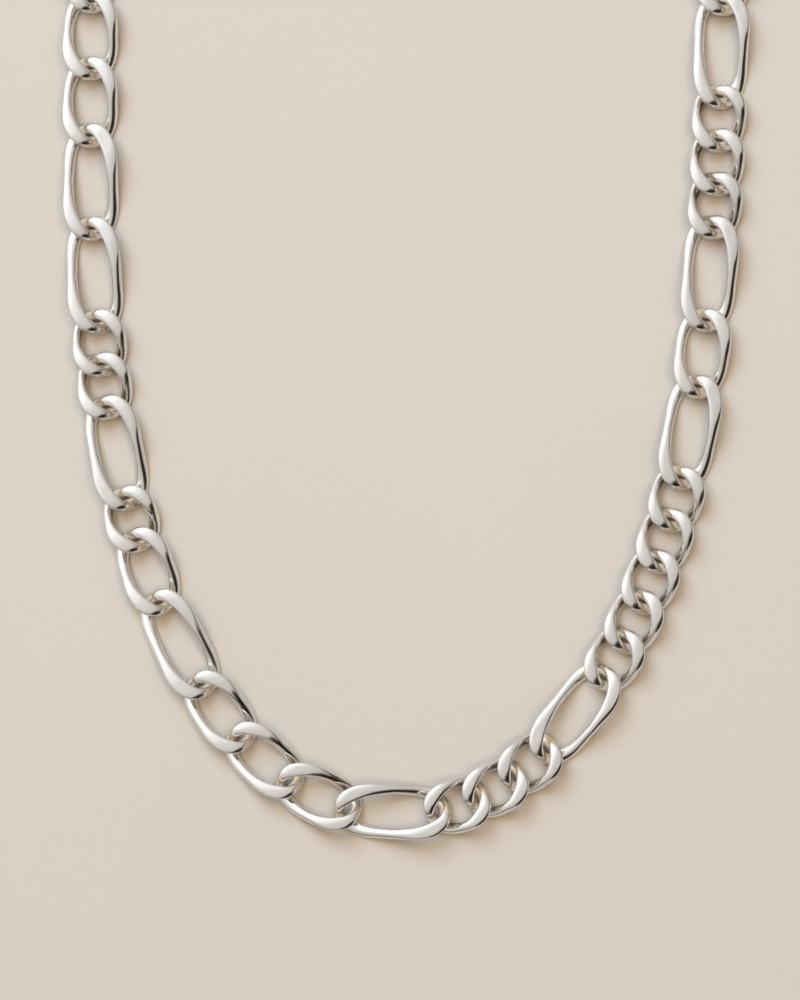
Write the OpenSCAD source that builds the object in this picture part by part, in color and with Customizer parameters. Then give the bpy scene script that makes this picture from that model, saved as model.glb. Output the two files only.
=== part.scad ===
// Figaro chain necklace, laid flat as one closed loop.
// Millimetres, +Z up, the chain rests on z = 0, the clasp is at +Y.
// The links interlock without touching, so the whole chain is loose.

/* [Links] */
// Outer width of every link
link_w = 7; // [6.8:0.1:7.5]
// Thickness of the wire
wire_d = 1.4; // [1.3:0.05:1.5]
// Length of chain that a short link takes up
short_step = 5.45; // [5.3:0.05:6]
// Length of chain that a middle link takes up
middle_step = 8.4; // [7.4:0.1:9]
// Length of chain that a long link takes up
long_step = 11.65; // [10.5:0.05:12.6]
// Height of the links after their faces are pressed flat
chain_t = 2.6; // [2.4:0.1:2.9]
// How far each end of a link is turned out of the flat, in degrees
end_turn = 44; // [40:1:50]
// How much of the narrowing that comes with that turn is kept, as a share
end_narrow = 0.7; // [0.5:0.05:1]
// How much wider the pressing makes the wire where it lies highest, as a share
press_spread = 0.2; // [0.1:0.02:0.3]
// Squareness of a link's end, where 2 is an ellipse
end_square = 2.45; // [2.3:0.05:2.7]
// Length of a link's rounded end, at most
end_l = 4.4; // [3.8:0.1:5]

/* [Clearances] */
// Air between two links that hang in each other
link_gap = 0.24; // [0.22:0.02:0.34]
// How far out from the middle line the joints turn
joint_out = 0.7; // [0.5:0.05:0.9]
// Air between the clasp's body and the link next to it
clasp_gap = 0.55; // [0.45:0.05:0.9]

/* [Necklace] */
// Length of the whole necklace, to the nearest group of links
necklace_l = 500; // [472:28:612]

/* [Clasp] */
// Length of chain that the clasp takes up
clasp_step = 13.5; // [12.9:0.1:16]
// Width of the clasp's body at its wide end
body_w = 6.2; // [5.6:0.1:6.6]
// Width of the clasp's body at its narrow end
body_tip_w = 5; // [4.4:0.1:5.4]
// Width of the bevel round the clasp's body
body_bevel = 0.5; // [0.3:0.05:0.7]
// How far the thumb lever stands out of the body
lever_out = 1.1; // [0.7:0.1:1.5]
// Length of the thumb lever
lever_l = 2.4; // [1.8:0.1:3]
// Height of the thumb lever
lever_t = 1.2; // [0.9:0.1:1.5]

/* [Hidden] */

// Facets of a link: rings along the wire, and sides of the wire.
round_rings = 14;
long_rings = 16;
wire_sides = 6;
function rings_of(kind) = kind == "short" || kind == "middle" ? round_rings : long_rings;
// A six-sided wire a little over size has about the round wire's width.
facet_r = 1.02 * wire_d / 2;

half_w = (link_w - wire_d) / 2;
// Half the length of two wires and the air between them, at a joint.
hook = (wire_d + link_gap) / 2;

// Step of each kind of link along the chain.
// columns: kind, step
steps = [
    ["short", short_step],
    ["middle", middle_step],
    ["long", long_step],
    ["clasp", clasp_step]
];

// The front of the necklace, from the upper left round the bottom to the upper right.
front_kinds = [
    "middle", "middle", "long", "long", "short", "short", "long", "short", "middle", "long",
    "middle", "middle", "middle", "long", "short", "short", "short", "long", "short", "short",
    "short", "short", "short", "long", "middle", "long", "short", "short", "short", "long"
];
// The back repeats one group of links.
group_kinds = ["short", "short", "short", "long"];

// Control points of the front's curve, from the upper left round to the upper right.
// columns: x, y
front_route = [
    [-38.7, 131], [-38.7, 104.7], [-38.7, 80], [-38.7, 56.4],
    [-39, 31.3], [-36.2, 3.4], [-26.9, -23.7], [-10.1, -40.7],
    [10.6, -40], [27.6, -22.4], [36.5, 4], [39.2, 31.3],
    [40.2, 56.3], [40.6, 80], [40.6, 104.7], [40.6, 131]
];
// Where the first joint lies on the route, from the route's first point.
first_joint = 42.6;
route_samples = 10;
arc_samples = 48;

function total(list, i = 0) = i < len(list) ? list[i] + total(list, i + 1) : 0;
function step_of(kind) = steps[search([kind], steps)[0]][1];
function tidy(v) = abs(v) < 1e-9 ? 0 : v;
function power_of(v, p) = tidy(v) == 0 ? 0 : sign(v) * pow(abs(v), p);

// The order of the links round the whole loop. The clasp takes a short link's place at the back.
front_l = total([for (k = front_kinds) step_of(k)]);
group_l = total([for (k = group_kinds) step_of(k)]);
groups = round((necklace_l - front_l - clasp_step + short_step) / group_l);
back_count = groups * len(group_kinds);
clasp_place = floor(groups / 2) * len(group_kinds) + 2;
kinds = [
    for (k = front_kinds) k,
    for (i = [0:back_count - 1]) i == clasp_place ? "clasp" : group_kinds[i % len(group_kinds)]
];
joints = [for (i = 0, s = 0; i <= len(kinds); s = s + (i < len(kinds) ? step_of(kinds[i]) : 0), i = i + 1) s];
chain_l = joints[len(kinds)];

// The route: the front's smooth curve, two straight sides and the arc at the back.
function spline(p, i, t) = (
    pow(1 - t, 3) * p[i] + (3 * pow(t, 3) - 6 * pow(t, 2) + 4) * p[i + 1]
    + (-3 * pow(t, 3) + 3 * pow(t, 2) + 3 * t + 1) * p[i + 2] + pow(t, 3) * p[i + 3]) / 6;
front_line = [
    for (i = [0:len(front_route) - 4]) for (j = [0:route_samples - 1]) spline(front_route, i, j / route_samples),
    spline(front_route, len(front_route) - 4, 1)
];
arc_r = (front_line[len(front_line) - 1].x - front_line[0].x) / 2;
arc_x = (front_line[len(front_line) - 1].x + front_line[0].x) / 2;
side_y = front_line[0].y;
front_curve_l = total([for (i = [1:len(front_line) - 1]) norm(front_line[i] - front_line[i - 1])]);
// The joints turn outside the middle line, so the line itself is shorter by one whole turn.
side_l = (chain_l - 360 * joint_out * PI / 180 - front_curve_l - PI * arc_r) / 2;
back_line = [
    for (i = [0:arc_samples]) let (w = 180 * i / arc_samples)
        [arc_x + arc_r * cos(w), side_y + side_l + arc_r * sin(w)]
];
line = concat(front_line, back_line);
line_count = len(line);

function along(i) = let (v = line[(i + 1) % line_count] - line[(i + line_count - 1) % line_count]) v / norm(v);
outer = [for (i = [0:line_count - 1]) let (v = along(i)) line[i] + joint_out * [v.y, -v.x]];
outer_s = [
    for (i = 0, s = 0; i <= line_count;
        s = s + norm(outer[(i + 1) % line_count] - outer[i % line_count]), i = i + 1) s
];
outer_l = outer_s[line_count];
route_x = [for (i = [0:line_count]) [outer_s[i], line[i % line_count].x]];
route_y = [for (i = [0:line_count]) [outer_s[i], line[i % line_count].y]];
// The last hair's breadth is shared by every link.
fit = outer_l / chain_l;
function wrapped(s) = s >= outer_l ? s - outer_l : s;
function joint_at(i) = let (s = wrapped(first_joint + joints[i] * fit)) [lookup(s, route_x), lookup(s, route_y)];
joint_points = [for (i = [0:len(kinds)]) joint_at(i)];

// One point of a link's middle line: x across, y along, twisted so that each end turns out of the flat.
function half_l(kind) = (step_of(kind) + wire_d + link_gap) / 2;
function on_link(kind, w) = let (
    round_l = min(end_l, half_l(kind)),
    x = half_w * power_of(cos(w), 2 / end_square),
    y_end = round_l * power_of(sin(w), 2 / end_square),
    y = y_end + sign(y_end) * (half_l(kind) - round_l),
    turn = end_turn * y / half_l(kind)
) [x * (1 - end_narrow * (1 - cos(turn))), y, x * sin(turn)];
// The highest that a short link's middle line comes.
high_z = max([for (w = [0:5:90]) on_link("short", w).z]);
function clamp(v, most) = min(max(v, -most), most);

// The corners of one link before it is placed, ring by ring, with its faces pressed flat.
function ring_at(kind, w, turn) = let (
    v = on_link(kind, w + turn) - on_link(kind, w - turn),
    n = [v.y, -v.x, 0] / norm([v.y, -v.x]),
    up = cross(n, v) / norm(v),
    p = on_link(kind, w),
    wide = 1 + press_spread * pow(abs(p.z) / high_z, 1.5)
) [
    for (j = [0:wire_sides - 1]) let (
        q = p + facet_r * (wide * cos(360 * j / wire_sides) * n + sin(360 * j / wire_sides) * up)
    ) [q.x, q.y, clamp(q.z, chain_t / 2) + chain_t / 2]
];
function link_points(kind, rings) = [
    for (i = [0:rings - 1]) each ring_at(kind, 90 + 360 * i / rings, 360 / rings)
];
// The same corners on the route, between two joints.
function placed(points, from, to) = let (
    mid = (from + to) / 2,
    t = (to - from) / norm(to - from)
) [for (p = points) [mid.x + p.x * t.y + p.y * t.x, mid.y - p.x * t.x + p.y * t.y, p.z]];
function link_faces(rings, first) = [
    for (i = [0:rings - 1]) for (j = [0:wire_sides - 1]) let (
        a = first + i * wire_sides + j,
        b = first + i * wire_sides + (j + 1) % wire_sides,
        c = first + ((i + 1) % rings) * wire_sides + (j + 1) % wire_sides,
        d = first + ((i + 1) % rings) * wire_sides + j
    ) each [[a, b, c], [a, c, d]]
];

// The middle of the whole loop's box, which is the frame's origin.
outline = [
    for (i = [0:len(kinds) - 1])
        each placed(link_points(kinds[i], rings_of(kinds[i])), joint_points[i], joint_points[i + 1])
];
origin = [
    (max([for (p = outline) p.x]) + min([for (p = outline) p.x])) / 2,
    (max([for (p = outline) p.y]) + min([for (p = outline) p.y])) / 2
];

module links(wanted, rings) {
    places = [for (i = [0:len(kinds) - 1]) if (is_num(search([kinds[i]], wanted)[0])) i];
    shapes = [for (k = wanted) link_points(k, rings)];
    translate([-origin.x, -origin.y, 0]) polyhedron(
        points = [
            for (i = places) each placed(shapes[search([kinds[i]], wanted)[0]], joint_points[i], joint_points[i + 1])
        ],
        faces = [for (i = [0:len(places) - 1]) each link_faces(rings, i * rings * wire_sides)]
    );
}

// Every short and middle link, each a loose ring in its neighbours.
module round_links() {
    color("silver") links(["short", "middle"], round_rings);
}

// Every long link, each a loose ring in its neighbours.
module long_links() {
    color("gainsboro") links(["long"], long_rings);
}

lever_r = 0.4;
body_l = 2 * (half_l("clasp") - 2 * hook - wire_d / 2 - clasp_gap);

module clasp_body() {
    hull() {
        for (end = [-1, 1]) for (face = [-1, 1]) {
            r = (end < 0 ? body_w : body_tip_w) / 2;
            translate([0, end * (body_l / 2 - r), 0]) {
                linear_extrude(chain_t / 2 - body_bevel) circle(r, $fn = 24);
                translate([0, 0, -chain_t / 2 + body_bevel]) linear_extrude(chain_t / 2) circle(r, $fn = 24);
                translate([0, 0, face > 0 ? 0 : -chain_t / 2])
                    linear_extrude(chain_t / 2) circle(r - body_bevel, $fn = 24);
            }
        }
    }
}

module clasp_lever() {
    hull() {
        for (y = [-lever_l / 2, lever_l / 2]) {
            translate([-body_tip_w / 4, y * 1.6, -lever_t / 2]) cylinder(h = lever_t, r = lever_r, $fn = 8);
            translate([lever_r - body_w / 2 - lever_out, y * 0.7, -lever_t / 2])
                cylinder(h = lever_t, r = lever_r, $fn = 8);
        }
    }
}

// The clasp, closed: an eye at each end like a link's end, a flat body and a thumb lever.
module clasp() {
    at = search(["clasp"], kinds)[0];
    from = joint_points[at];
    to = joint_points[at + 1];
    t = (to - from) / norm(to - from);
    color("darkgray")
    translate([(from.x + to.x) / 2 - origin.x, (from.y + to.y) / 2 - origin.y, 0])
    rotate([0, 0, atan2(t.y, t.x) - 90])
    union() {
        polyhedron(points = link_points("clasp", long_rings), faces = link_faces(long_rings, 0));
        translate([0, 0, chain_t / 2]) {
            clasp_body();
            clasp_lever();
        }
    }
}

round_links();
long_links();
clasp();
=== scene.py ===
"""The looks of the figaro chain necklace: round twisted links, the closed clasp, floor, light and camera."""
import math

import bpy
import numpy as np
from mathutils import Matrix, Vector


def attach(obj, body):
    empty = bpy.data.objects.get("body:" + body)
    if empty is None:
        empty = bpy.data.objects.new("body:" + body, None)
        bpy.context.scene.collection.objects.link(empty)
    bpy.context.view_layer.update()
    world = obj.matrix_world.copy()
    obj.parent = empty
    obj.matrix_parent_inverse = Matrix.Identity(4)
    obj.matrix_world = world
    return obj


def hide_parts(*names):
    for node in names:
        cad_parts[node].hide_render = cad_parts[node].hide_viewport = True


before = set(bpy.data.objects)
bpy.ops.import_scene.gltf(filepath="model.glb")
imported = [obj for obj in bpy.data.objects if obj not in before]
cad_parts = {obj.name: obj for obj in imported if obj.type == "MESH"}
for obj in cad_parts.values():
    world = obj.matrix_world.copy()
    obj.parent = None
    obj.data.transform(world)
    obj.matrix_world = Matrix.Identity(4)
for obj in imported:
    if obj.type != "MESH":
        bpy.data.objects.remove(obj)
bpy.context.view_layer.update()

# Sizes in millimetres, the same as the solids'
MM = 0.001
LINK_W = 7.0
WIRE_D = 1.4
LINK_GAP = 0.24
CHAIN_T = 2.6
END_TURN = math.radians(44)
END_NARROW = 0.7
PRESS_SPREAD = 0.2
END_SQUARE = 2.45
END_L = 4.4
JOINT_OUT = 0.7
FIRST_JOINT = 42.6
GROUPS = 9
CLASP_PLACE = 18
ROUTE_SAMPLES = 10
ARC_SAMPLES = 48
STEPS = {"short": 5.45, "middle": 8.4, "long": 11.65, "clasp": 13.5}
FRONT_KINDS = [
    "middle", "middle", "long", "long", "short", "short", "long", "short", "middle", "long",
    "middle", "middle", "middle", "long", "short", "short", "short", "long", "short", "short",
    "short", "short", "short", "long", "middle", "long", "short", "short", "short", "long",
]
GROUP_KINDS = ["short", "short", "short", "long"]
FRONT_ROUTE = [
    (-38.7, 131), (-38.7, 104.7), (-38.7, 80), (-38.7, 56.4),
    (-39, 31.3), (-36.2, 3.4), (-26.9, -23.7), (-10.1, -40.7),
    (10.6, -40), (27.6, -22.4), (36.5, 4), (39.2, 31.3),
    (40.2, 56.3), (40.6, 80), (40.6, 104.7), (40.6, 131),
]
# The middle of the solids' box, which is the frame's origin
ORIGIN = np.array([0.937529, 64.5053])

# The clasp's body
BODY_W = 6.2
BODY_TIP_W = 5.0
BODY_BEVEL = 0.5
CLASP_GAP = 0.55
LEVER_OUT = 1.1
LEVER_L = 2.4
LEVER_T = 1.2
LEVER_R = 0.4
# The lever's edge, which is rounded only here
LEVER_BEVEL = 0.28

# The pressing brings heights, from the chain's middle, softly towards this one
PRESS_SOFT = 1.46

# Points of a link's middle line before they are spaced evenly
FINE_STEPS = 2880
# Rings and sides of each kind of link's wire
WIRE_MESH = {"short": (84, 28), "middle": (110, 32), "long": (150, 32), "clasp": (180, 28)}

# How much the links differ: standard deviations of lean, nod and twist, and the seed
SEED = 11
LEAN = math.radians(1.5)
NOD = math.radians(0.7)
TWIST = 0.015

# The rub and the painted warm reflection on a turned end fade sideways over this distance
RUB_AND_REFLECTION_FADE = 1.3
# They start below this height and are full this much lower
RUB_AND_REFLECTION_TOP = 2.2
RUB_AND_REFLECTION_SOFT = 0.5
# The furthest apart that two links lie in the pattern of polishing lines
LINES_APART = 53.0
CLASP_TONE = 0.3

HALF_W = (LINK_W - WIRE_D) / 2
HOOK = (WIRE_D + LINK_GAP) / 2


def half_length(kind):
    return (STEPS[kind] + WIRE_D + LINK_GAP) / 2


# The route of the joints

def spline(points, i, t):
    a, b, c, d = points[i:i + 4]
    return ((1 - t) ** 3 * a + (3 * t ** 3 - 6 * t ** 2 + 4) * b
            + (-3 * t ** 3 + 3 * t ** 2 + 3 * t + 1) * c + t ** 3 * d) / 6


def link_order():
    back = GROUP_KINDS * GROUPS
    back[CLASP_PLACE] = "clasp"
    return FRONT_KINDS + back


def joint_route(kinds):
    points = np.array(FRONT_ROUTE, float)
    spans = len(points) - 3
    front = [spline(points, i, j / ROUTE_SAMPLES) for i in range(spans) for j in range(ROUTE_SAMPLES)]
    front = np.array(front + [spline(points, spans - 1, 1.0)])
    arc_r = (front[-1, 0] - front[0, 0]) / 2
    arc_x = (front[-1, 0] + front[0, 0]) / 2
    front_l = np.linalg.norm(np.diff(front, axis=0), axis=1).sum()
    chain_l = sum(STEPS[k] for k in kinds)
    side_l = (chain_l - 2 * math.pi * JOINT_OUT - front_l - math.pi * arc_r) / 2
    w = np.linspace(0, math.pi, ARC_SAMPLES + 1)
    back = np.column_stack([arc_x + arc_r * np.cos(w), front[0, 1] + side_l + arc_r * np.sin(w)])
    line = np.vstack([front, back])
    way = np.roll(line, -1, axis=0) - np.roll(line, 1, axis=0)
    way /= np.linalg.norm(way, axis=1)[:, None]
    outer = line + JOINT_OUT * np.column_stack([way[:, 1], -way[:, 0]])
    steps = np.linalg.norm(np.roll(outer, -1, axis=0) - outer, axis=1)
    s = np.concatenate([[0], np.cumsum(steps)])
    line = np.vstack([line, line[:1]])
    fit = s[-1] / chain_l
    at = FIRST_JOINT + fit * np.concatenate([[0], np.cumsum([STEPS[k] for k in kinds])])
    at = np.where(at >= s[-1], at - s[-1], at)
    return np.column_stack([np.interp(at, s, line[:, 0]), np.interp(at, s, line[:, 1])]) - ORIGIN


# One link's wire

def signed_power(v, p):
    v = np.where(np.abs(v) < 1e-9, 0.0, v)
    return np.sign(v) * np.abs(v) ** p


def middle_line(kind, rings, twist=1.0):
    """Evenly spaced points of a link's middle line: x across, y along, each end turned out of the flat."""
    w = np.pi / 2 + np.linspace(0, 2 * np.pi, FINE_STEPS, endpoint=False)
    half = half_length(kind)
    round_l = min(END_L, half)
    x = HALF_W * signed_power(np.cos(w), 2 / END_SQUARE)
    y = round_l * signed_power(np.sin(w), 2 / END_SQUARE)
    y = y + np.sign(y) * (half - round_l)
    turn = END_TURN * twist * y / half
    fine = np.column_stack([x * (1 - END_NARROW * (1 - np.cos(turn))), y, x * np.sin(turn)])
    closed = np.vstack([fine, fine[:1]])
    s = np.concatenate([[0], np.cumsum(np.linalg.norm(np.diff(closed, axis=0), axis=1))])
    q = np.linspace(0, s[-1], rings, endpoint=False)
    return np.column_stack([np.interp(q, s, closed[:, k]) for k in range(3)])


# The highest that a short link's middle line comes
HIGH_Z = middle_line("short", 240)[:, 2].max()


def pressed(z):
    """Heights after the faces are pressed, left a little domed."""
    return np.clip(z / (1 + np.abs(z / PRESS_SOFT) ** 3) ** (1 / 3), -CHAIN_T / 2, CHAIN_T / 2)


def turned(points, roll, nod):
    """Points turned by small angles about the link's length and its width."""
    x, y, z = points.T
    x, z = x * math.cos(roll) + z * math.sin(roll), z * math.cos(roll) - x * math.sin(roll)
    y, z = y * math.cos(nod) - z * math.sin(nod), z * math.cos(nod) + y * math.sin(nod)
    return np.column_stack([x, y, z])


def link_points(kind, rings, sides, roll=0.0, nod=0.0, twist=1.0):
    p = turned(middle_line(kind, rings, twist), roll, nod)
    v = np.roll(p, -1, axis=0) - np.roll(p, 1, axis=0)
    v /= np.linalg.norm(v, axis=1)[:, None]
    n = np.column_stack([v[:, 1], -v[:, 0], np.zeros(rings)])
    n /= np.linalg.norm(n, axis=1)[:, None]
    up = np.cross(n, v)
    wide = 1 + PRESS_SPREAD * (np.abs(p[:, 2]) / HIGH_Z) ** 1.5
    w = np.linspace(0, 2 * np.pi, sides, endpoint=False)
    r = WIRE_D / 2
    grid = (p[:, None, :] + r * (wide[:, None, None] * np.cos(w)[None, :, None] * n[:, None, :]
                                 + np.sin(w)[None, :, None] * up[:, None, :]))
    grid[:, :, 2] = pressed(grid[:, :, 2]) + CHAIN_T / 2
    return grid.reshape(-1, 3)


def link_quads(rings, sides):
    i, j = np.meshgrid(np.arange(rings), np.arange(sides), indexing="ij")
    a = i * sides + j
    b = i * sides + (j + 1) % sides
    c = (i + 1) % rings * sides + (j + 1) % sides
    d = (i + 1) % rings * sides + j
    return np.stack([a, d, c, b], axis=-1).reshape(-1, 4)


def placed(points, start, end):
    t = (end - start) / np.linalg.norm(end - start)
    mid = (start + end) / 2
    x, y, z = points.T
    return np.column_stack([mid[0] + x * t[1] + y * t[0], mid[1] - x * t[0] + y * t[1], z])


# Meshes

def wire_lines(rings, sides, length, shift):
    """Where each corner of each face lies along and round the wire, in millimetres."""
    i, j = np.meshgrid(np.arange(rings), np.arange(sides), indexing="ij")
    along = np.stack([i, i + 1, i + 1, i], axis=-1) * length / rings + shift
    around = np.stack([j, j, j + 1, j + 1], axis=-1) * math.pi * WIRE_D / sides
    return np.stack([along, around], axis=-1).reshape(-1, 2)


def new_piece(name, points_mm, quads, tone, wear_and_painted_reflection, shade, lines):
    mesh = bpy.data.meshes.new(name)
    mesh.vertices.add(len(points_mm))
    mesh.vertices.foreach_set("co", (np.asarray(points_mm) * MM).astype(np.float32).ravel())
    mesh.loops.add(quads.size)
    mesh.loops.foreach_set("vertex_index", quads.astype(np.int32).ravel())
    mesh.polygons.add(len(quads))
    mesh.polygons.foreach_set("loop_start", np.arange(0, quads.size, 4, dtype=np.int32))
    mesh.polygons.foreach_set("use_smooth", np.ones(len(quads), dtype=bool))
    mesh.update(calc_edges=True)
    for label, values in (("tone", tone), ("wear_and_painted_reflection", wear_and_painted_reflection), ("shade", shade)):
        attribute = mesh.attributes.new(label, "FLOAT", "POINT")
        attribute.data.foreach_set("value", np.asarray(values, dtype=np.float32))
    layer = mesh.uv_layers.new(name="wire")
    layer.data.foreach_set("uv", np.asarray(lines, dtype=np.float32).ravel())
    piece = bpy.data.objects.new(name, mesh)
    bpy.context.scene.collection.objects.link(piece)
    return piece


def chain_piece(name, wanted, kinds, joints, variation):
    """Every link of one kind in one mesh, each with its own small lean and tone."""
    rings, sides = WIRE_MESH[wanted]
    points = []
    quads = []
    tones = []
    wear_and_painted_reflections = []
    shades = []
    lines = []
    first = 0
    for i, kind in enumerate(kinds):
        if kind != wanted:
            continue
        lean, nod, twist, tone = variation[i]
        local = link_points(kind, rings, sides, lean, nod, twist)
        points.append(placed(local, joints[i], joints[i + 1]))
        quads.append(link_quads(rings, sides) + first)
        tones.append(np.full(rings * sides, tone))
        # Twice the step and 8 mm is about the length of a link's wire
        lines.append(wire_lines(rings, sides, 2 * STEPS[kind] + 8, LINES_APART * tone))
        # The turned ends, where neighbours rub, lie low: duller there, with a painted warm reflection of the
        # shaded floor in their colour
        reach = half_length(kind) - np.abs(local[:, 1])
        inner = np.clip(1.5 - np.abs(local[:, 0]) / RUB_AND_REFLECTION_FADE, 0, 1) * np.clip(2 - reach / WIRE_D, 0, 1)
        wear_and_painted_reflections.append(inner * np.clip((RUB_AND_REFLECTION_TOP - local[:, 2]) / RUB_AND_REFLECTION_SOFT, 0, 1))
        # Painted shade on the wire's underside, which faces down towards the floor
        upward = np.sin(np.linspace(0, 2 * np.pi, sides, endpoint=False))
        shades.append(np.tile(np.clip(-0.2 - 1.4 * upward, 0, 1), rings))
        first += rings * sides
    return new_piece(name, np.vstack(points), np.vstack(quads), np.concatenate(tones), np.concatenate(wear_and_painted_reflections),
                     np.concatenate(shades), np.vstack(lines))


# Shader groups

def new_group(name, inputs, outputs):
    group = bpy.data.node_groups.new(name, "ShaderNodeTree")
    for label, kind, value in inputs:
        socket = group.interface.new_socket(label, in_out="INPUT", socket_type=kind)
        socket.default_value = value
    for label, kind in outputs:
        group.interface.new_socket(label, in_out="OUTPUT", socket_type=kind)
    return group, group.nodes.new("NodeGroupInput"), group.nodes.new("NodeGroupOutput")


def math_node(tree, operation, a, b):
    node = tree.nodes.new("ShaderNodeMath")
    node.operation = operation
    for socket, value in zip(node.inputs, (a, b)):
        if isinstance(value, (int, float)):
            socket.default_value = value
        else:
            tree.links.new(value, socket)
    return node.outputs[0]


def ranged(tree, value, low, high, to_low, to_high):
    node = tree.nodes.new("ShaderNodeMapRange")
    for label, v in (("From Min", low), ("From Max", high), ("To Min", to_low), ("To Max", to_high)):
        node.inputs[label].default_value = v
    tree.links.new(value, node.inputs["Value"])
    return node.outputs["Result"]


def noise(tree, where, scale, detail, rough):
    node = tree.nodes.new("ShaderNodeTexNoise")
    node.inputs["Scale"].default_value = scale
    node.inputs["Detail"].default_value = detail
    node.inputs["Roughness"].default_value = rough
    tree.links.new(where, node.inputs["Vector"])
    return node.outputs["Fac"]


def polish_group():
    """Polished metal's small marks: hazy patches, fine polishing lines along the wire, faint unevenness."""
    group, given, out = new_group(
        "polish_marks",
        [("Haze", "NodeSocketFloat", 0.05), ("Lines", "NodeSocketFloat", 0.5),
         ("Low", "NodeSocketFloat", 0.08)],
        [("Roughness", "NodeSocketFloat"), ("Height", "NodeSocketFloat"), ("Patch", "NodeSocketFloat"),
         ("Streak", "NodeSocketFloat")],
    )
    where = group.nodes.new("ShaderNodeTexCoord").outputs["Object"]
    patch = noise(group, where, 420.0, 3.0, 0.55)
    along = group.nodes.new("ShaderNodeUVMap")
    along.uv_map = "wire"
    stretch = group.nodes.new("ShaderNodeMapping")
    stretch.inputs["Scale"].default_value = (0.22, 4.2, 1.0)
    group.links.new(along.outputs["UV"], stretch.inputs["Vector"])
    streak = noise(group, stretch.outputs["Vector"], 1.0, 4.0, 0.62)
    lines = math_node(group, "MULTIPLY", streak, given.outputs["Lines"])
    haze = math_node(group, "MULTIPLY", ranged(group, patch, 0.40, 0.66, 0.0, 1.0), given.outputs["Haze"])
    rough = math_node(group, "ADD", haze, given.outputs["Low"])
    rough = math_node(group, "ADD", rough, math_node(group, "MULTIPLY", lines, 0.05))
    height = math_node(group, "ADD", lines, math_node(group, "MULTIPLY", patch, 2.0))
    group.links.new(rough, out.inputs["Roughness"])
    group.links.new(height, out.inputs["Height"])
    group.links.new(patch, out.inputs["Patch"])
    group.links.new(streak, out.inputs["Streak"])
    return group


# Where a colour Mix node keeps its factor, its two colours and its result
MIX_FACTOR = 0
MIX_A = 6
MIX_B = 7
MIX_RESULT = 2


def mix_colour(tree, amount, a, b, blend="MIX"):
    node = tree.nodes.new("ShaderNodeMix")
    node.data_type = "RGBA"
    node.blend_type = blend
    for place, value in ((MIX_FACTOR, amount), (MIX_A, a), (MIX_B, b)):
        socket = node.inputs[place]
        if isinstance(value, (int, float)):
            socket.default_value = value
        elif isinstance(value, tuple):
            socket.default_value = value + (1.0,)
        else:
            tree.links.new(value, socket)
    return node.outputs[MIX_RESULT]


def mesh_value(tree, label):
    """The number that each point of the mesh carries under one name."""
    node = tree.nodes.new("ShaderNodeAttribute")
    node.attribute_name = label
    return node.outputs["Fac"]


def add_bump(tree, shader, height, strength, distance):
    bump = tree.nodes.new("ShaderNodeBump")
    bump.inputs["Strength"].default_value = strength
    bump.inputs["Distance"].default_value = distance
    tree.links.new(height, bump.inputs["Height"])
    tree.links.new(bump.outputs["Normal"], shader.inputs["Normal"])


STREAK_GREY = (0.5, 0.49, 0.48)
# Painted warm reflection of the shaded floor, put on the turned ends
PAINTED_WARM_REFLECTION = (0.84, 0.69, 0.51)
# Painted shade for the wire's underside
PAINTED_UNDERSIDE_SHADE = (0.34, 0.28, 0.21)


def steel(name, marks, bright, dull, low, haze, lines):
    """Polished silver-tone steel, duller where the links rub, with a painted warm reflection on the turned
    ends and painted shade on the underside.
    """
    material = bpy.data.materials.new(name)
    material.use_nodes = True
    tree = material.node_tree
    shader = tree.nodes["Principled BSDF"]
    polish = tree.nodes.new("ShaderNodeGroup")
    polish.node_tree = marks
    polish.inputs["Haze"].default_value = haze
    polish.inputs["Lines"].default_value = lines
    polish.inputs["Low"].default_value = low
    uneven = ranged(tree, polish.outputs["Patch"], 0.35, 0.65, 0.4, 1.0)
    # Mask of the turned ends: duller where links rub, and where the painted warm reflection goes
    rub_and_painted_reflection = math_node(tree, "MULTIPLY", mesh_value(tree, "wear_and_painted_reflection"), uneven)
    streaks = ranged(tree, polish.outputs["Streak"], 0.35, 0.7, 0.0, 0.12)
    # Painted shade, strongest where the wire faces straight down
    painted_under_shade = math_node(tree, "MULTIPLY", mesh_value(tree, "shade"), 0.55)
    base = mix_colour(tree, mesh_value(tree, "tone"), bright, dull)
    base = mix_colour(tree, streaks, base, STREAK_GREY)
    # The turned ends get the painted warm reflection
    base = mix_colour(tree, math_node(tree, "MULTIPLY", rub_and_painted_reflection, 0.85), base, PAINTED_WARM_REFLECTION)
    # The underside gets the painted shade
    base = mix_colour(tree, painted_under_shade, base, PAINTED_UNDERSIDE_SHADE)
    tree.links.new(base, shader.inputs["Base Color"])
    # A small non-metal share on the turned ends lets the lamps light the painted warm tone
    metal = math_node(tree, "SUBTRACT", 1.0, math_node(tree, "MULTIPLY", rub_and_painted_reflection, 0.08))
    tree.links.new(metal, shader.inputs["Metallic"])
    rough = math_node(tree, "ADD", polish.outputs["Roughness"], math_node(tree, "MULTIPLY", rub_and_painted_reflection, 0.2))
    tree.links.new(rough, shader.inputs["Roughness"])
    add_bump(tree, shader, polish.outputs["Height"], 0.2, 0.00004)
    return material


def floor_material():
    material = bpy.data.materials.new("pale_floor")
    material.use_nodes = True
    tree = material.node_tree
    shader = tree.nodes["Principled BSDF"]
    where = tree.nodes.new("ShaderNodeTexCoord").outputs["Object"]
    patch = noise(tree, where, 14.0, 2.0, 0.5)
    fine = noise(tree, where, 900.0, 3.0, 0.6)
    base = mix_colour(tree, patch, (0.155, 0.155, 0.155), (0.165, 0.165, 0.165))
    tree.links.new(base, shader.inputs["Base Color"])
    shader.inputs["Roughness"].default_value = 0.62
    add_bump(tree, shader, fine, 0.08, 0.0001)
    return material


# The clasp

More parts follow.
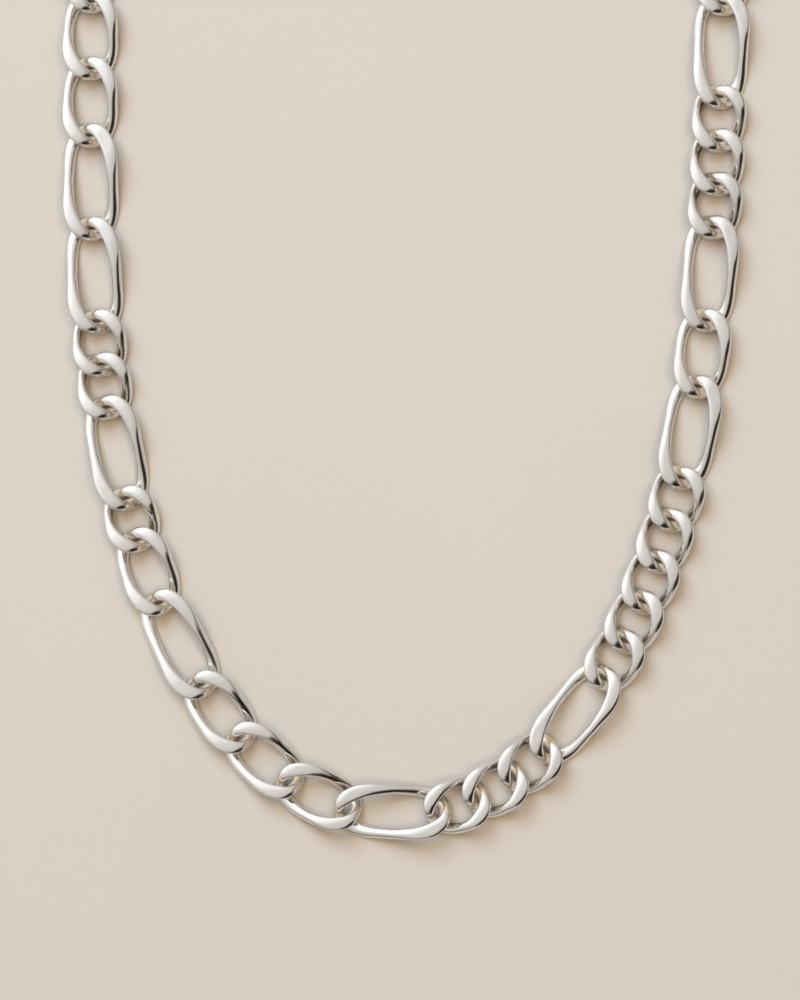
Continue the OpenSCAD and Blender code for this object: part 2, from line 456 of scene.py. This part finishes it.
def stadium(length, r_back, r_front, count):
    """The outline round two circles on one line, as points about their middle."""
    y_back = -length / 2 + r_back
    y_front = length / 2 - r_front
    lean = math.asin((r_back - r_front) / (y_front - y_back))
    out = []
    for i in range(count):
        w = 2 * math.pi * i / count
        if math.sin(w) >= math.sin(lean):
            out.append((r_front * math.cos(w), y_front + r_front * math.sin(w)))
        else:
            out.append((r_back * math.cos(w), y_back + r_back * math.sin(w)))
    return np.array(out)


def closed_stack(outline_of, layers, count):
    """A closed mesh of quads through stacked outlines, from the lowest up, each drawn in by its inset."""
    points = np.vstack([np.column_stack([outline_of(inset), np.full(count, z)]) for inset, z in layers])
    i, j = np.meshgrid(np.arange(len(layers) - 1), np.arange(count), indexing="ij")
    a = i * count + j
    b = i * count + (j + 1) % count
    quads = np.stack([a, b, b + count, a + count], axis=-1).reshape(-1, 4)
    # A strip of quads across the first and the last outline closes the two faces
    caps = []
    for base, flip in ((0, True), ((len(layers) - 1) * count, False)):
        for k in range(count // 2 - 1):
            q = [base + k, base + k + 1, base + (count - k - 2) % count, base + (count - k - 1) % count]
            caps.append(q[::-1] if flip else q)
    return points, np.vstack([quads, np.array(caps)])


def round_rim(radius, top, steps):
    """Insets and heights round a rim, from the top's edge down to the side."""
    return [(radius * (1 - math.sin(w)), top - radius * (1 - math.cos(w)))
            for w in np.linspace(0, math.pi / 2, steps)]


def both_faces(upper):
    """All layers of a body with two equal faces. Its upper half is listed from the face's middle out."""
    return [(inset, -z) for inset, z in upper] + [(0.0, 0.0)] + upper[::-1]


def clasp_body_mesh(count=96):
    body_l = 2 * (half_length("clasp") - 2 * HOOK - WIRE_D / 2 - CLASP_GAP)
    top = CHAIN_T / 2
    flats = [(inset, top) for inset in (2.3, 1.7, 1.2, 0.8, BODY_BEVEL + 0.08)]
    layers = both_faces(flats + round_rim(BODY_BEVEL, top, 10))

    def outline(inset):
        return stadium(body_l - 2 * inset, BODY_W / 2 - inset, BODY_TIP_W / 2 - inset, count)

    return closed_stack(outline, layers, count)


def lever_mesh(count=48):
    """The thumb lever: a rounded tab that widens towards the body."""
    w = np.linspace(0, 2 * np.pi, count, endpoint=False)
    reach_in = -BODY_TIP_W / 4
    reach_out = LEVER_R - BODY_W / 2 - LEVER_OUT
    spots = np.array([
        (reach_in, -LEVER_L * 0.8), (reach_out, -LEVER_L * 0.35),
        (reach_out, LEVER_L * 0.35), (reach_in, LEVER_L * 0.8),
    ])
    ways = np.column_stack([np.cos(w), np.sin(w)])
    far = spots[np.argmax(ways @ spots.T, axis=1)]

    def outline(inset):
        return far + ways * (LEVER_R - inset)

    half = LEVER_T / 2
    flats = [(0.36, half), (0.32, half)]
    return closed_stack(outline, both_faces(flats + round_rim(LEVER_BEVEL, half, 7)), count)


def clasp_piece(start, end):
    rings, sides = WIRE_MESH["clasp"]
    parts = [(link_points("clasp", rings, sides), link_quads(rings, sides))]
    for points, quads in (clasp_body_mesh(), lever_mesh()):
        points = points.copy()
        points[:, 2] += CHAIN_T / 2
        parts.append((points, quads))
    first = 0
    all_points = []
    all_quads = []
    for points, quads in parts:
        all_points.append(placed(points, start, end))
        all_quads.append(quads + first)
        first += len(points)
    points = np.vstack(all_points)
    quads = np.vstack(all_quads)
    # The body's polishing lines run along it
    lines = points[quads.ravel()][:, :2]
    plain = np.zeros(len(points))
    return new_piece("clasp_closed", points, quads, plain + CLASP_TONE, plain, plain, lines)


# Building it

kinds = link_order()
joints = joint_route(kinds)
chance = np.random.default_rng(SEED)
# For each link: lean, nod, twist, tone
variation = [
    (chance.normal(0, LEAN), chance.normal(0, NOD), 1 + chance.normal(0, TWIST), chance.uniform(0, 1))
    for _ in kinds
]
marks = polish_group()
chain_steel = steel("chain_steel", marks, (0.90, 0.89, 0.87), (0.83, 0.82, 0.80), 0.05, 0.05, 0.7)
clasp_steel = steel("clasp_steel", marks, (0.87, 0.86, 0.84), (0.82, 0.81, 0.79), 0.08, 0.06, 0.9)

short_links = chain_piece("short_links_polished", "short", kinds, joints, variation)
middle_links = chain_piece("middle_links_polished", "middle", kinds, joints, variation)
long_links = chain_piece("long_links_polished", "long", kinds, joints, variation)
at = kinds.index("clasp")
clasp = clasp_piece(joints[at], joints[at + 1])
for piece, node, material in (
    (short_links, "round_links", chain_steel),
    (middle_links, "round_links", chain_steel),
    (long_links, "long_links", chain_steel),
    (clasp, "clasp", clasp_steel),
):
    piece.data.materials.append(material)
    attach(piece, "root")
    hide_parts(node)

# Floor
bpy.ops.mesh.primitive_plane_add(size=6.0, location=(0, 0, 0))
floor = bpy.context.object
floor.name = "floor"
floor.data.materials.append(floor_material())

# Light
MIDDLE = Vector((-ORIGIN[0] * MM, -ORIGIN[1] * MM, CHAIN_T / 2 * MM))


def soft_light(name, place, width, height, watts, colour):
    lamp = bpy.data.lights.new(name, "AREA")
    lamp.shape = "RECTANGLE"
    lamp.size = width
    lamp.size_y = height
    lamp.energy = watts
    lamp.color = colour
    thing = bpy.data.objects.new(name, lamp)
    thing.location = place
    thing.rotation_euler = (MIDDLE - Vector(place)).to_track_quat("-Z", "Y").to_euler()
    bpy.context.scene.collection.objects.link(thing)
    return thing


key = soft_light("key", (-0.55, 0.89, 1.0), 0.9, 0.9, 70.0, (0.655, 0.81, 0.95))
fill = soft_light("fill", (0.55, -0.50, 0.95), 1.2, 1.2, 5.4, (1.0, 0.9, 0.8))
top = soft_light("top", (-0.03, 0.06, 1.2), 1.3, 1.3, 39.0, (1.0, 0.69, 0.38))
# The cool key and the warm lamps make golden shadows on the floor, and the metal mirrors the studio alone
for lamp in (key, fill, top):
    lamp.visible_glossy = False

# The studio is bright to the upper left and grey elsewhere. It has a thin dark band at right angles to the
# light and a dark patch across from it
TOWARDS_LIGHT = Vector((-0.52, 0.50, 0.69)).normalized()
TOWARDS_DARK = Vector((0.54, -0.58, 0.63)).normalized()
# columns: cosine of the angle from the light, brightness
STUDIO = (
    (-1.0, 0.6), (-0.66, 0.65), (-0.45, 0.6), (-0.2, 0.5), (-0.08, 0.42),
    (-0.04, 0.08), (0.03, 0.08), (0.07, 0.36), (0.2, 0.43), (0.3, 0.49),
    (0.42, 0.64), (0.55, 0.67), (0.69, 0.76), (0.8, 1.0), (1.0, 1.5),
)
BRIGHTEST = 1.5
# columns: cosine of the angle from the dark patch's middle, share of the light that is left
PATCH = ((-1.0, 1.0), (0.85, 1.0), (0.92, 0.17), (1.0, 0.08))
# columns: sine of the height above the horizon, share of the light that is left
LOW_DOWN = ((0.0, 0.8), (0.2, 1.0))
world = bpy.data.worlds.new("studio")
bpy.context.scene.world = world
world.use_nodes = True
sky = world.node_tree
backdrop = sky.nodes["Background"]
where = sky.nodes.new("ShaderNodeTexCoord").outputs["Generated"]


def facing(way):
    node = sky.nodes.new("ShaderNodeVectorMath")
    node.operation = "DOT_PRODUCT"
    sky.links.new(where, node.inputs[0])
    node.inputs[1].default_value = way
    return node.outputs["Value"]


def tone_ramp(value, low, rows, colour_of):
    """A smooth ramp through the rows, for a value from low to 1."""
    ramp = sky.nodes.new("ShaderNodeValToRGB")
    ramp.color_ramp.interpolation = "EASE"
    sky.links.new(ranged(sky, value, low, 1, 0.0, 1.0), ramp.inputs["Fac"])
    stops = ramp.color_ramp.elements
    stops.remove(stops[1])
    for k, (place, bright) in enumerate(rows):
        stop = stops[0] if k == 0 else stops.new((place - low) / (1 - low))
        stop.position = (place - low) / (1 - low)
        stop.color = colour_of(bright)
    return ramp.outputs["Color"]


def studio_colour(bright):
    """Warm where it is dark and neutral where it is bright."""
    v = bright / BRIGHTEST
    cool = min(v * 1.8, 1)
    return (v, v * (0.83 + 0.155 * cool), v * (0.62 + 0.35 * cool), 1)


def warm_grey(share):
    return (share, share * (0.88 + 0.12 * share), share * (0.75 + 0.25 * share), 1)


glow = tone_ramp(facing(TOWARDS_LIGHT), -1, STUDIO, studio_colour)
patch = tone_ramp(facing(TOWARDS_DARK), -1, PATCH, warm_grey)
low_down = tone_ramp(facing(Vector((0, 0, 1))), 0, LOW_DOWN, warm_grey)
for share in (patch, low_down):
    glow = mix_colour(sky, 1.0, glow, share, "MULTIPLY")
sky.links.new(glow, backdrop.inputs["Color"])
backdrop.inputs["Strength"].default_value = BRIGHTEST

# Camera, straight down as in the photograph, which is 125 mm high at the chain
VIEW_H = 0.125
lens = bpy.data.cameras.new("camera")
lens.lens = 135
lens.sensor_width = 36
camera = bpy.data.objects.new("camera", lens)
camera.location = MIDDLE + Vector((0, 0, VIEW_H * lens.lens / lens.sensor_width))
bpy.context.scene.collection.objects.link(camera)
bpy.context.scene.camera = camera
bpy.context.scene.view_settings.view_transform = "Standard"
